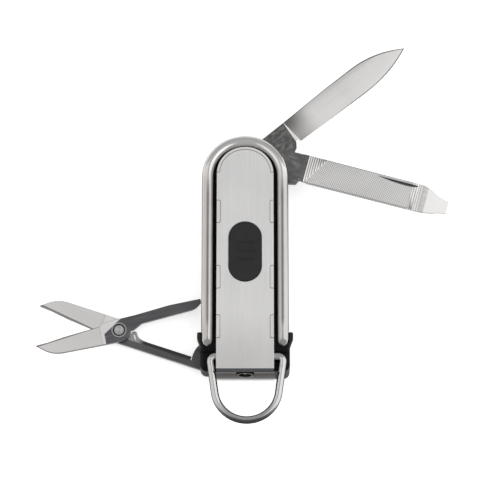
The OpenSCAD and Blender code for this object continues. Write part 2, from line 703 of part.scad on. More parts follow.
// The flat spring on the right that bears on the scissors' tang
module scissors_backspring() color([0.6, 0.6, 0.59]) translate([0, 0, z_fixed]) difference() {
    nose_x = fold_pivot.x + scissor_hw + 0.2;
    x_in = scissors_spring_pin_at.x - spring_w / 2;
    union() {
        translate([tool_pivot.x, tool_pivot.y, 0]) cylinder(h = scissor_t, r = eye_r);
        linear_extrude(scissor_t)
            polygon([[x_in, tool_pivot.y], [x_in + spring_w, tool_pivot.y], [x_in + spring_w, fold_pivot.y + 9],
                     [nose_x + 3, fold_pivot.y - 1], [nose_x, fold_pivot.y - 1.4], [nose_x, fold_pivot.y + 1.6],
                     [x_in, fold_pivot.y + 8]]);
    }
    translate([tool_pivot.x, tool_pivot.y, -1]) cylinder(h = scissor_t + 2, r = pin_r + fit);
    translate([scissors_spring_pin_at.x, scissors_spring_pin_at.y, -1])
        cylinder(h = scissor_t + 2, r = small_pin_r + fit);
}

back_plate();
rear_liner();
middle_liner();
chassis();
wire_frame();
box_walls();
cover_plate();
button();
dome_switch();
circuit_board();
coin_cell();
cell_clip();
lamp();
lamp_leads();
lamp_bezel();
key_ring();
knife_blade();
nail_file();
blade_backspring();
file_backspring();
tool_pin();
scissors_pin();
top_pin();
tool_spring_pin();
scissors_spring_pin();
end_screw();
scissors_fixed_half();
scissors_moving_half();
scissors_rivet();
scissors_leaf_spring();
scissors_backspring();
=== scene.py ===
# %% [markdown]
# # A key-ring multi tool with a light
# The tool lies on its back on a pale table, with its knife blade, nail file and scissors swung out.
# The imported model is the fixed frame: every piece made here sits where the frame has it, in metres.

# %% Load the frame
from math import acos, atan2, cos, degrees, hypot, pi, radians, sin, sqrt

import bmesh
import bpy
from mathutils import Matrix, Vector


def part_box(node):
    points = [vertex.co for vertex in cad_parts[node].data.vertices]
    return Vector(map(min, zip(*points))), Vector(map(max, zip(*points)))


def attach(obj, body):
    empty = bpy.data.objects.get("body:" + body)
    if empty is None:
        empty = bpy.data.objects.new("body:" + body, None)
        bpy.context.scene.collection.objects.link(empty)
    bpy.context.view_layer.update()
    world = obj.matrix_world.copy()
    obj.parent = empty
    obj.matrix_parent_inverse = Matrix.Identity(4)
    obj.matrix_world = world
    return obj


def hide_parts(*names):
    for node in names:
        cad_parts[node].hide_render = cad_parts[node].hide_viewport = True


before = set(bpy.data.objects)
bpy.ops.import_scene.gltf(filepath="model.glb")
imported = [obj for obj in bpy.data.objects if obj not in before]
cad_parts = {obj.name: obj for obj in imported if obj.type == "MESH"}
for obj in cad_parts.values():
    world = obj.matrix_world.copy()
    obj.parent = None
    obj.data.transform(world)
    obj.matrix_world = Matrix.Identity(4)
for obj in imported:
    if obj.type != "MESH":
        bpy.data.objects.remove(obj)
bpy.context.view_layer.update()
MM = 0.001
print("nodes in the frame:", len(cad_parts))


# %% [markdown]
# The camera looks almost straight down and leans 18 degrees towards the ring end. It stands a good
# half metre away with a long lens, so the tool is drawn with very little perspective.

# %% Camera
scene = bpy.context.scene
lens = bpy.data.cameras.new("long_lens")
lens.lens = 178.56
lens.sensor_width = 36
lens.clip_start = 0.01
camera = bpy.data.objects.new("camera", lens)
camera.location = (1.2 * MM, -188.19 * MM, 589.66 * MM)
camera.rotation_euler = (radians(18), 0, 0)
scene.collection.objects.link(camera)
scene.camera = camera
scene.view_settings.view_transform = "Standard"
print("camera distance:", round(hypot(camera.location.y - 0.0034, camera.location.z), 3), "m")


# %% [markdown]
# Steel shows what stands round it more than its own colour. Two long soft boxes, the right one
# brighter and the left one warmer, leave a dim gap straight above the tool. A round bar then shows
# a light band on each flank and a darker streak between them, as satin bars do in a light tent; the
# bar's finish also paints that streak and the shade of its flanks into its colour.

# %% Lights and surroundings
world = scene.world or bpy.data.worlds.new("room")
scene.world = world
world.use_nodes = True
world.node_tree.nodes["Background"].inputs["Color"].default_value = (0.96, 0.98, 1.0, 1)
world.node_tree.nodes["Background"].inputs["Strength"].default_value = 0.50


def soft_box(name, place, size, watts, colour):
    """A rectangular area light that faces the tool."""
    light = bpy.data.lights.new(name, "AREA")
    light.shape = "RECTANGLE"
    light.size, light.size_y = size
    light.energy = watts
    light.color = colour
    box = bpy.data.objects.new(name, light)
    box.location = place
    box.rotation_euler = (-Vector(place)).to_track_quat("-Z", "Y").to_euler()
    scene.collection.objects.link(box)


soft_box("right_box", (0.50, 0.05, 0.35), (0.70, 1.2), 2.4, (1.0, 1.0, 1.0))
soft_box("left_box", (-0.50, 0.05, 0.35), (0.70, 1.2), 1.5, (1.0, 0.95, 0.92))


# %% [markdown]
# A finish is a node material. Sums and products of its numbers are written as plain Python, and a
# small class turns each one into a Math node. One method adds any other node.

# %% Finishes as Python expressions
class Num:
    """A number that varies over a surface. Arithmetic on it adds Math nodes."""

    def __init__(self, finish, socket):
        self.finish = finish
        self.socket = socket

    def math(self, operation, *values):
        return self.finish.num("ShaderNodeMath", {"operation": operation}, values)

    def __add__(self, other): return self.math("ADD", self, other)
    def __radd__(self, other): return self.math("ADD", other, self)
    def __sub__(self, other): return self.math("SUBTRACT", self, other)
    def __rsub__(self, other): return self.math("SUBTRACT", other, self)
    def __mul__(self, other): return self.math("MULTIPLY", self, other)
    def __rmul__(self, other): return self.math("MULTIPLY", other, self)
    def __truediv__(self, other): return self.math("DIVIDE", self, other)
    def __abs__(self): return self.math("ABSOLUTE", self)
    def wave(self): return self.math("PINGPONG", self, 1.0)
    def low(self, other): return self.math("MINIMUM", self, other)
    def high(self, other): return self.math("MAXIMUM", self, other)
    def power(self, other): return self.math("POWER", self, other)
    def root(self): return self.math("SQRT", self)

    def ramp(self, start, end):
        """0 before start and 1 after end, with a smooth change between them."""
        settings = {"interpolation_type": "SMOOTHSTEP"}
        limits = {"Value": self, "From Min": start, "From Max": end}
        return self.finish.num("ShaderNodeMapRange", settings, limits)


class Finish:
    """A material with one Principled shader; keyword names are the shader's sockets."""

    def __init__(self, name, **constants):
        self.material = bpy.data.materials.new(name)
        self.material.use_nodes = True
        self.tree = self.material.node_tree
        self.shader = self.tree.nodes["Principled BSDF"]
        for socket, value in constants.items():
            self.set(socket, value)

    def set(self, socket, value):
        self.give(self.shader.inputs[socket.replace("_", " ")], value)

    def give(self, socket, value):
        value = getattr(value, "socket", value)
        if isinstance(value, bpy.types.NodeSocket):
            self.tree.links.new(value, socket)
        elif isinstance(value, tuple) and len(value) == 3 and socket.type == "RGBA":
            socket.default_value = (*value, 1)
        else:
            socket.default_value = value

    def node(self, kind, settings, values):
        node = self.tree.nodes.new(kind)
        for key, setting in settings.items():
            setattr(node, key, setting)
        pairs = values.items() if isinstance(values, dict) else enumerate(values)
        for key, value in pairs:
            self.give(node.inputs[key], value)
        return node

    def num(self, kind, settings, values):
        return Num(self, self.node(kind, settings, values).outputs[0])

    def split(self, vector):
        """The x, y and z parts of a vector."""
        parts = self.node("ShaderNodeSeparateXYZ", {}, [vector])
        return [Num(self, parts.outputs[i]) for i in range(3)]

    def colour(self):
        """What feeds the shader's Base Color now."""
        return self.shader.inputs["Base Color"].links[0].from_socket

    def place(self, centre=(0, 0, 0), turn=0):
        """Object coordinates in mm, measured from a centre and along a direction in the plan."""
        coords = self.node("ShaderNodeTexCoord", {}, {}).outputs["Object"]
        moved = self.node("ShaderNodeMapping", {"vector_type": "TEXTURE"}, {
            "Vector": coords, "Location": [c * MM for c in centre],
            "Rotation": (0, 0, radians(turn)), "Scale": (MM, MM, MM)})
        return self.split(moved.outputs[0])

    def facing(self):
        """The surface's own direction: its x, y and z parts."""
        return self.split(self.node("ShaderNodeTexCoord", {}, {}).outputs["Normal"])

    def fronts(self):
        """1 on faces that look towards the ring end."""
        return (self.facing()[1] * -1.0).ramp(0.5, 0.8)

    def rims(self, start=0.93, end=0.80):
        """1 on rounded edges and side faces, 0 on flat faces that look up or down."""
        return 1.0 - abs(self.facing()[2]).ramp(end, start)

    def flanks(self, start, end):
        """1 where a round wire turns to the side, 0 on its crown."""
        return 1.0 - abs(self.facing()[2]).ramp(start, end)

    def noise(self, x, y, z, detail=2.0, rough=0.5):
        vector = self.node("ShaderNodeCombineXYZ", {}, [x, y, z]).outputs[0]
        values = {"Vector": vector, "Scale": 1.0, "Detail": detail, "Roughness": rough}
        return self.num("ShaderNodeTexNoise", {}, values)

    def mix(self, factor, first, second):
        node = self.node("ShaderNodeMix", {"data_type": "RGBA"}, {0: factor, 6: first, 7: second})
        return node.outputs[2]

    def grey(self, number, tint=(1.0, 1.0, 1.0)):
        """A colour from black to the tint, by the number."""
        return self.mix(number, (0.0, 0.0, 0.0), tint)

    def relief(self, height, depth):
        """A bump whose height is a share of a depth in mm."""
        values = {"Height": height, "Distance": depth * MM, "Strength": 1.0}
        self.set("Normal", self.node("ShaderNodeBump", {}, values).outputs[0])


print("finish helpers ready")


# %% [markdown]
# Most steel here is brushed or ground: fine streaks run one way, with a few deeper scratches and
# slow cloudy changes left by handling. All three come from stretched noise in the tool's own mm.

# The cover gets painted shade that grows towards the ring end. Its end face and the lip below it
# are painted dark and dull as painted shade, lighter low on the lip, but the lip's foot stays bright
# steel and the lip's top rim gets a painted highlight.

# %% Brushed steel
GRAIN_DEPTH = 0.004


def streaks(finish, along, across, depth, fine):
    """Fine grain, deeper scratches and slow clouds, each about 0 to 1."""
    grain = finish.noise(along * 0.06, across * fine, depth, 3.0, 0.6)
    scratch = finish.noise(along * 0.11 + 7.0, across * fine * 2.3, depth, 1.0).ramp(0.62, 0.74)
    clouds = finish.noise(along * 0.09 + 31.0, across * 0.16, depth * 0.2, 2.0)
    return grain, scratch, clouds


def brushed(name, tone, rough, centre=(0, 0, 0), turn=90, warmth=0.97, contrast=0.22, fine=5.0):
    """Brushed steel whose streaks run along a direction in the plan."""
    finish = Finish(name, Metallic=1.0)
    along, across, height = finish.place(centre, turn)
    grain, scratch, clouds = streaks(finish, along, across, height, fine)
    light = tone * (1.0 + contrast * (grain - 0.5) + 0.12 * (clouds - 0.5) - 0.10 * scratch)
    finish.set("Base Color", finish.grey(light, (1.0, (1 + warmth) / 2, warmth)))
    finish.set("Roughness", rough + 0.14 * (grain - 0.5) + 0.08 * (clouds - 0.5))
    finish.relief(grain - 0.6 * scratch, GRAIN_DEPTH)
    return finish


def paint_shading(finish, mask, colour):
    """Covers the masked part of a steel with a dull colour, which isn't metallic: painted shading."""
    finish.set("Base Color", finish.mix(mask, finish.colour(), colour))
    finish.set("Metallic", 1.0 - mask)
    finish.set("Specular_IOR_Level", 0.05)


cover_finish = brushed("brushed_cover", 0.82, 0.42, contrast=0.14, fine=4.0)
# Painted shade: the cover darkens towards the ring end.
painted_shade_to_ring_end = cover_finish.place()[1].ramp(-14.0, -30.0)
cover_with_painted_shade = cover_finish.mix(0.30 * painted_shade_to_ring_end, cover_finish.colour(), (0.35, 0.34, 0.33))
cover_finish.set("Base Color", cover_with_painted_shade)
# Painted shade: the cover's faces towards the ring end get a dark, dull colour.
paint_shading(cover_finish, cover_finish.fronts(), (0.016, 0.019, 0.030))

sheet_finish = brushed("satin_sheet", 0.58, 0.36)
lip_z = sheet_finish.place()[2]
# Painted shade darkens the lip's front, lighter low down, and a painted highlight runs along its top
# rim.
lip_shade_and_highlight = 0.060 * (1.0 - 0.75 * lip_z.ramp(4.5, 5.3)) + 0.30 * lip_z.ramp(6.95, 7.15)
painted_lip_mask = lip_z.ramp(0.3, 2.8) * sheet_finish.fronts()
paint_shading(sheet_finish, painted_lip_mask, sheet_finish.grey(lip_shade_and_highlight, (1.0, 0.88, 0.80)))
spring_finish = brushed("spring_steel", 0.42, 0.34, warmth=0.94)
print("brushed finishes:", cover_finish.material.name, sheet_finish.material.name)


# %% [markdown]
# The round bar and the ring wire are drawn, not brushed: their marks run along the wire. The bar
# is satin; painted shade darkens its flanks, a painted dark streak of reflection runs along the
# crown of its straights, and its arch is painted lighter. The thinner ring is almost bright, with
# faint rubbing where keys slide on it; painted shade darkens its flanks and the underside of its
# round end.

# %% Drawn bar and bright wire
bar_finish = Finish("satin_bar", Metallic=1.0, Specular_Tint=(0.25, 0.25, 0.25))
bar_x, bar_y, bar_h = bar_finish.place()
bar_grain = bar_finish.noise(bar_x * 2.2, bar_y * 0.12, bar_h * 2.2, 3.0, 0.6)
bar_cloud = bar_finish.noise(bar_x * 0.15, bar_y * 0.12, bar_h * 0.15)
bar_straight = (1.0 - bar_y.ramp(14.0, 20.0)) * bar_y.ramp(-20.0, -17.0)
# Painted shade on the flanks, a painted dark reflection streak on the crown, and a lighter painted
# arch.
bar_crown_streak_shade = abs(bar_finish.facing()[2]).ramp(0.94, 0.99) * bar_straight
bar_wear = 1.0 + 0.16 * (bar_grain - 0.5) + 0.30 * (bar_cloud - 0.5)
bar_painted_tone = 0.50 * (1.0 - 0.60 * bar_finish.flanks(0.05, 0.60)) * (1.0 - 0.42 * bar_crown_streak_shade)
bar_painted_tone = bar_painted_tone * bar_wear * (1.0 + 0.45 * bar_y.ramp(17.0, 24.0))
bar_finish.set("Base Color", bar_finish.grey(bar_painted_tone, (1.0, 0.975, 0.95)))
bar_finish.set("Roughness", 0.17 + 0.10 * (bar_grain - 0.5))
bar_finish.relief(bar_grain, 0.003)

wire_finish = Finish("bright_wire", Metallic=1.0, Specular_Tint=(0.2, 0.2, 0.2))
wire_x, wire_y, wire_h = wire_finish.place((0, -35, 0))
wire_rub = wire_finish.noise(wire_x * 0.8, wire_y * 0.8, wire_h * 0.8, 3.0)
wire_mark = wire_finish.noise(wire_x * 6.0, wire_y * 1.2, wire_h * 6.0, 1.0).ramp(0.60, 0.72)
wire_tone = 0.56 - 0.14 * wire_mark + 0.10 * (wire_rub - 0.5)
# Painted shade on the wire's flanks and on the underside of its round end.
wire_tone = wire_tone * (1.0 - 0.88 * wire_finish.flanks(0.25, 0.85))
wire_round = wire_y.ramp(-2.5, -8.0)
wire_underside_shade = (wire_finish.facing()[1] * -1.0).ramp(-0.1, 0.5)
wire_tone = wire_tone * (1.0 - 0.80 * wire_round * wire_underside_shade)
wire_finish.set("Base Color", wire_finish.grey(wire_tone, (1.0, 0.985, 0.97)))
wire_finish.set("Roughness", 0.06 + 0.10 * wire_rub + 0.10 * wire_mark)
wire_finish.relief(wire_mark, 0.003)
print("wire finishes:", bar_finish.material.name, wire_finish.material.name)


# %% [markdown]
# The base is a black moulding with a fine spark-eroded texture; its outer sides and rounded edges
# are painted lighter as a painted highlight.
# The button is a soft rubber that is a little greyer, with dust-dulled patches.

# %% Moulding and rubber
moulding = Finish("black_moulding", Metallic=0.0)
mould_x, mould_y, mould_h = moulding.place()
mould_grain = moulding.noise(mould_x * 9.0, mould_y * 9.0, mould_h * 9.0, 2.0)
mould_cloud = moulding.noise(mould_x * 0.5, mould_y * 0.5, mould_h * 0.5)
moulding.set("Specular_IOR_Level", 0.03)
# Painted highlight: the outer sides and rounded edges are lighter.
mould_outer_highlight = abs(mould_x).ramp(9.8, 11.2)
mould_tone = 0.006 + 0.008 * mould_cloud + 0.022 * mould_outer_highlight + 0.02 * moulding.rims()
moulding.set("Base Color", moulding.grey(mould_tone, (1.04, 1.0, 1.0)))
moulding.set("Roughness", 0.42 + 0.16 * (mould_grain - 0.5) + 0.1 * (mould_cloud - 0.5))
moulding.relief(mould_grain, 0.010)

rubber = Finish("button_rubber", Metallic=0.0)
rub_x, rub_y, rub_h = rubber.place()
rub_grain = rubber.noise(rub_x * 7.0, rub_y * 7.0, rub_h * 7.0, 3.0)
rub_cloud = rubber.noise(rub_x * 0.35, rub_y * 0.35, rub_h * 0.35)
rub_tone = 0.017 + 0.012 * (rub_cloud - 0.5) + 0.006 * rub_grain
rubber.set("Base Color", rubber.grey(rub_tone, (1.0, 0.97, 0.96)))
rubber.set("Specular_IOR_Level", 0.3)
rubber.set("Roughness", 0.62 + 0.12 * (rub_grain - 0.5))
rubber.relief(rub_grain, 0.012)
print("moulded finishes:", moulding.material.name, rubber.material.name)


# %% [markdown]
# The knife blade is ground in one long flat on each side and the tang is left dark from rolling.
# Between them the grinding wheel left a narrow ramp that widens towards the edge, painted bright as
# a highlight. The flat gets painted shade next to the ramp, most of all at the spine, and a thin
# dark line of painted shade follows both edges.

# %% Blade steel
PIVOT = (3.6, 23.15, 0)
BLADE_TURN = 38.9
TANG_END = 11.75
FLAT_START = 12.96
blade_finish = Finish("blade_steel", Metallic=1.0)
bl_x, bl_y, bl_h = blade_finish.place(PIVOT, BLADE_TURN)
bl_grain, bl_scratch, bl_clouds = streaks(blade_finish, bl_x, bl_y, bl_h, 3.5)
bl_cross = blade_finish.noise(bl_x * 3.5, bl_y * 0.12, bl_h, 2.0)
tang_edge = TANG_END + 0.106 * (bl_y + 0.05)
is_ground = (bl_x - tang_edge).ramp(-0.04, 0.04)
is_flat = (bl_x - FLAT_START + 0.084 * (bl_y + 0.4)).ramp(-0.03, 0.05)
# Painted shade on the flat next to the ramp, strongest at the spine and the heel.
spine_shade = bl_y.ramp(1.0, 5.5) * (1.0 - bl_x.ramp(13.0, 20.0))
heel_shade = 1.0 - bl_x.ramp(12.6, 21.0)
flat_tone = 0.75 + 0.10 * (bl_grain - 0.5) + 0.07 * (bl_cross - 0.5) + 0.16 * (bl_clouds - 0.5)
flat_tone = flat_tone * (1.0 - 0.55 * spine_shade) * (1.0 - 0.50 * heel_shade)
bl_spots = blade_finish.noise(bl_x * 0.55, bl_y * 1.3, bl_h, 3.0, 0.55).ramp(0.35, 0.75)
tang_tone = 0.15 * (0.75 + 0.5 * (bl_grain - 0.5) + 0.3 * bl_scratch + 0.9 * bl_spots)
# The ramp's bright tone is a painted highlight.
ground_tone = is_flat * flat_tone + (1.0 - is_flat) * 0.95
blade_tone = is_ground * ground_tone + (1.0 - is_ground) * tang_tone
# A thin line of painted shade follows the spine and the edge.
edge_run = ((bl_x - 33.8) / 15.5).high(0.0).power(2.1)
spine_run = ((bl_x - 35.0) / 14.3).high(0.0).power(2.0)
spine_line = 6.42 - 0.035 * (26.0 - bl_x).high(0.0) - 4.05 * spine_run
to_edge = (bl_y + 0.8 - 3.2 * edge_run).low(spine_line - bl_y)
blade_edge_shade = (1.0 - to_edge.ramp(0.12, 0.28)) * bl_x.ramp(12.6, 13.0)
blade_tone = blade_tone * (1.0 - 0.82 * blade_edge_shade)
blade_finish.set("Base Color", blade_finish.grey(blade_tone, (1.0, 0.975, 0.95)))
blade_finish.set("Roughness", 0.36 + 0.12 * (bl_grain - 0.5))
blade_finish.relief(0.5 * bl_grain + 0.5 * bl_cross - 0.4 * bl_scratch, GRAIN_DEPTH)
print("blade ramp runs from", TANG_END, "to", FLAT_START, "mm from the pivot")


# %% [markdown]
# The file's face has three zones. Coarse straight cuts start next to the dark tang, a cross-cut of
# small diamonds covers most of it, and a few straight ribs end it before the bright driver tip.
# The grooves are darker than the crests: saw-tooth waves give the share of each tooth's height.

# %% File steel
FILE_TURN = -15.1
CUT, COARSE = 0.46, 0.56
CUT_RUN, CUT_SIDE = 0.80, 0.60
CUTS_FROM, CUTS_TO = 11.4, 40.75
COARSE_START, COARSE_SLANT = 12.2, 0.62
RIB_START = 38.2
file_finish = Finish("file_steel", Metallic=1.0)
fl_x, fl_y, fl_h = file_finish.place(PIVOT, FILE_TURN)
fl_grain, _, fl_clouds = streaks(file_finish, fl_x, fl_y, fl_h, 4.0)
slant_a = ((fl_x * CUT_RUN + fl_y * CUT_SIDE) * (2 / CUT)).wave()
slant_b = ((fl_x * CUT_RUN - fl_y * CUT_SIDE) * (2 / CUT)).wave()
diamonds = slant_a.low(slant_b)
straight = (fl_x * (2 / COARSE)).wave()
is_coarse = 1.0 - (fl_x - COARSE_SLANT * fl_y - COARSE_START).ramp(-0.2, 0.2)
is_ribbed = (fl_x - RIB_START).ramp(-0.1, 0.1)
is_straight = is_coarse.high(is_ribbed)
cuts = is_straight * straight + (1.0 - is_straight) * diamonds
past_tang = (fl_x - CUTS_FROM).ramp(-0.05, 0.05)
has_cuts = past_tang * (1.0 - (fl_x - CUTS_TO).ramp(-0.05, 0.05))
# Painted shade inside the file's long groove.
groove_side = (fl_y - 4.3).ramp(0.0, 0.1) * (1.0 - (fl_y - 5.45).ramp(0.0, 0.05))
groove_run = fl_x.ramp(29.0, 29.4) * (1.0 - fl_x.ramp(39.6, 39.9))
groove_shade = groove_side * groove_run * (1.0 - fl_h.ramp(6.35, 6.45))
tip_bright = fl_x.ramp(42.15, 42.3)
cut_tone = (0.42 + 0.90 * cuts) * (1.0 - 0.35 * is_coarse * (1.0 - straight.ramp(0.3, 0.7)))
cut_tone = cut_tone * (1.0 + 0.35 * (fl_clouds - 0.5))
fl_spots = file_finish.noise(fl_x * 0.55, fl_y * 1.3, fl_h, 3.0, 0.55).ramp(0.35, 0.75)
plain_tone = 0.14 + 0.10 * fl_spots + 0.48 * past_tang
plain_tone = plain_tone * (1.0 + 0.4 * (fl_grain - 0.5) + 0.3 * (fl_clouds - 0.5))
plain_tone = (1.0 - tip_bright) * plain_tone + tip_bright * 0.92
file_tone = has_cuts * cut_tone + (1.0 - has_cuts) * plain_tone
# Painted shade: the file's side faces are darker.
file_side_shade = 1.0 - abs(file_finish.facing()[2]).ramp(0.1, 0.4)
file_tone = file_tone * (1.0 - 0.55 * file_side_shade) * (1.0 - 0.85 * groove_shade)
file_finish.set("Base Color", file_finish.grey(file_tone, (1.0, 0.98, 0.96)))
file_finish.set("Roughness", 0.38 + 0.1 * (fl_grain - 0.5))
file_finish.relief(fl_grain, GRAIN_DEPTH)
print("file cuts every", CUT, "mm, straight ones every", COARSE, "mm")


# %% [markdown]
# Both halves of the scissors are dark stampings whose blades are ground light. On the upper half a
# bright band ends the ground part, and the dark area behind it starts on a slant beside the rivet.
# A turned ring round the rivet is dark inside and light outside. Painted shade lies along each
# cutting bevel, and rounded edges are painted dark on the ground blades and light on the dark steel.

# %% Scissor steel
RIVET = (-31.047, -18.239, 0)
LOWER_TURN, UPPER_TURN = 161.4, 191.4


def scissor_finish(name, turn, edge_side, upper):
    """Dark stamped steel with a ground blade; edge_side is the side of its own y that cuts."""
    finish = Finish(name, Metallic=1.0)
    x, y, height = finish.place(RIVET, turn)
    side = y * edge_side
    grain, scratch, clouds = streaks(finish, x, y, height, 4.0)
    ground = x.ramp(3.68, 3.78) if upper else x.ramp(0.7, 0.8)
    if upper:
        ground = ground.high((0.566 * x + 0.824 * side).ramp(1.74, 1.84))
    flat = x.ramp(4.60, 4.72)
    edge_line = 2.0 - 0.125 * (x - 4.5)
    # Painted shade along the cutting bevel.
    bevel = (side - edge_line).ramp(-0.42, -0.34) * x.ramp(4.3, 5.0)
    light = 0.86 + 0.10 * (grain - 0.5) + 0.14 * (clouds - 0.5)
    light = light * (1.0 - 0.10 * flat) * (1.0 - 0.62 * bevel)
    light = light * (1.0 - 0.35 * x.ramp(4.50, 4.58) * (1.0 - x.ramp(4.62, 4.72)))
    dark = 0.13 * (1.0 + 0.8 * (grain - 0.5) + 1.2 * scratch + 0.8 * (clouds - 0.5))
    # Rounded edges get painted shade on the ground part and a painted highlight on the dark part.
    rims = finish.rims()
    tone = ground * light * (1.0 - 0.80 * rims) + (1.0 - ground) * (dark + 0.06 * rims)
    if upper:
        radius = (x * x + y * y).root()
        groove = radius.ramp(1.30, 1.36) * (1.0 - radius.ramp(1.50, 1.58))
        land = radius.ramp(1.54, 1.62) * (1.0 - radius.ramp(1.80, 1.88))
        tone = tone * (1.0 - land) + 0.43 * land
        tone = tone * (1.0 - 0.9 * groove)
    cool, warm = finish.grey(tone, (0.98, 0.97, 1.0)), finish.grey(tone, (1.0, 0.975, 0.95))
    finish.set("Base Color", finish.mix(ground, cool, warm))
    finish.set("Roughness", 0.34 + 0.14 * (grain - 0.5))
    finish.relief(grain - 0.5 * scratch, GRAIN_DEPTH)
    return finish


upper_half_finish = scissor_finish("scissor_upper", UPPER_TURN, -1.0, True)
lower_half_finish = scissor_finish("scissor_lower", LOWER_TURN, 1.0, False)
print("scissor finishes:", upper_half_finish.material.name, lower_half_finish.material.name)


# %% [markdown]
# Turned pins show rings round their own middles. Each pin gets its own copy of the finish, centred
# on it, because the rings have to run round that pin.

# %% Turned steel
def turned(name, centre, tone=0.62, rough=0.26):
    """Steel with fine rings round a centre in the plan."""
    finish = Finish(name, Metallic=1.0)
    x, y, height = finish.place(centre)
    radius = (x * x + y * y).root()
    rings = finish.noise(radius * 9.0, height * 6.0, 0.0, 2.0)
    spots = finish.noise(x * 2.4, y * 2.4, height)
    light = tone * (1.0 + 0.3 * (rings - 0.5) + 0.35 * (spots - 0.5))
    finish.set("Base Color", finish.grey(light, (1.0, 0.98, 0.96)))
    finish.set("Roughness", rough + 0.14 * (rings - 0.5))
    finish.relief(rings, 0.006)
    return finish


def middle(node):
    low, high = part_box(node)
    return ((low[0] + high[0]) / 2 / MM, (low[1] + high[1]) / 2 / MM, 0)


print("turned steel ready, first pin at", [round(v, 2) for v in middle("tool_pin")[:2]])


# %% [markdown]
# Inside are a plated cell, brass contacts, a green board with a mask over its tracks, and a clear
# lamp. They are seen only when the tool is opened up, but each has its own finish.

# %% Inner finishes
def clouded(name, colour, metallic, rough, scale=1.2, spread=0.3):
    """A plain material whose tone and roughness drift slowly."""
    finish = Finish(name, Metallic=metallic)
    x, y, height = finish.place()
    drift = finish.noise(x * scale, y * scale, height * scale, 4.0)
    dark = tuple(c * (1 - spread) for c in colour)
    finish.set("Base Color", finish.mix(drift.ramp(0.3, 0.7), dark, colour))
    finish.set("Roughness", rough + 0.16 * (drift - 0.5))
    finish.relief(drift, 0.006)
    return finish


cell_finish = clouded("cell_plating", (0.68, 0.67, 0.65), 1.0, 0.22)
brass_finish = clouded("contact_brass", (0.72, 0.55, 0.28), 1.0, 0.28)
board_finish = clouded("board_mask", (0.02, 0.16, 0.06), 0.0, 0.35, 2.5)
lamp_finish = clouded("lamp_clear", (0.92, 0.94, 0.96), 0.0, 0.10, 0.8, 0.05)
lamp_finish.set("Transmission Weight", 0.9)
lamp_finish.set("IOR", 1.5)
die_finish = clouded("lamp_phosphor", (0.85, 0.68, 0.14), 0.0, 0.5, 6.0)
print("inner finishes: cell, brass, board, lamp")


# %% [markdown]
# The frame's meshes have knife-sharp edges, which no stamped or moulded piece has. A copy of a
# node is merged into a solid, its flat areas are joined up, and every sharp edge gets a small
# rounded bevel, so that edges catch the light. The frame's own mesh stays as it is.

# %% Softened copies of frame nodes
SHARP = 28
BEVEL = {"offset_type": "OFFSET", "segments": 2, "profile": 0.5, "affect": "EDGES", "material": -1,
         "clamp_overlap": True}


def dress(piece, finish, body, slot, *nodes):
    """Gives a piece its finish and its body, and hides the frame nodes that it stands for; slot is not
    used.
    """
    piece.data.materials.clear()
    piece.data.materials.append(finish.material)
    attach(piece, body)
    if nodes:
        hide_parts(*nodes)
    return piece


def as_piece(name, bm, smooth_below=35):
    """Turns a bmesh into an object at the origin, smooth except at edges sharper than the angle."""
    bmesh.ops.recalc_face_normals(bm, faces=bm.faces)
    mesh = bpy.data.meshes.new(name)
    bm.to_mesh(mesh)
    bm.free()
    for polygon in mesh.polygons:
        polygon.use_smooth = True
    mesh.set_sharp_from_angle(angle=radians(smooth_below))
    piece = bpy.data.objects.new(name, mesh)
    scene.collection.objects.link(piece)
    return piece


def sharp_edges(bm, above):
    return [e for e in bm.edges if len(e.link_faces) == 2 and e.calc_face_angle(0) > radians(above)]


def solid_copy(node):
    """A merged bmesh of a frame node, with its flat areas joined into single faces."""
    bm = bmesh.new()
    bm.from_mesh(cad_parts[node].data)
    bmesh.ops.remove_doubles(bm, verts=bm.verts, dist=0.002 * MM)
    bmesh.ops.dissolve_limit(bm, angle_limit=radians(0.8), use_dissolve_boundaries=False,
                             verts=bm.verts, edges=bm.edges, delimit=set())
    return bm


def softened(node, width, finish, body, slot, segments=2, detail=None):
    """A copy of a node with rounded edges, which stands for the node; detail shapes it further."""
    bm = solid_copy(node)
    edges = sharp_edges(bm, SHARP)
    bmesh.ops.bevel(bm, geom=edges, offset=width * MM, **{**BEVEL, "segments": segments})
    if detail:
        detail(bm)
    faces = len(bm.faces)
    piece = as_piece("soft_" + node, bm, 30 if detail else 50)
    mend = piece.modifiers.new("even_shading", "WEIGHTED_NORMAL")
    mend.keep_sharp = True
    dress(piece, finish, body, slot, node)
    print(f"{node}: {faces} faces, edges rounded {width} mm")
    return piece


# %% Sheet pieces and the base
softened("cover_plate", 0.05, cover_finish, "handle", "brushed_cover")
softened("box_walls", 0.05, cover_finish, "handle", "plate_steel")
softened("back_plate", 0.12, sheet_finish, "handle", "plate_steel")
softened("rear_liner", 0.05, sheet_finish, "handle", "plate_steel")
softened("middle_liner", 0.05, sheet_finish, "handle", "plate_steel")
softened("chassis", 0.10, moulding, "handle", "black_moulding")
softened("button", 0.12, rubber, "push_button", "button_rubber", 3)


# %% [markdown]
# The file's teeth are real grooves, cut as a file maker chisels them. Each face is sliced along the
# bottoms and the crests of every row, and then the points along the bottoms are pushed in.

# %% File teeth
TOOTH_DEPTH = 0.07
file_box_low, file_box_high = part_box("nail_file")
FILE_MIDDLE = (file_box_low[2] + file_box_high[2]) / 2 / MM


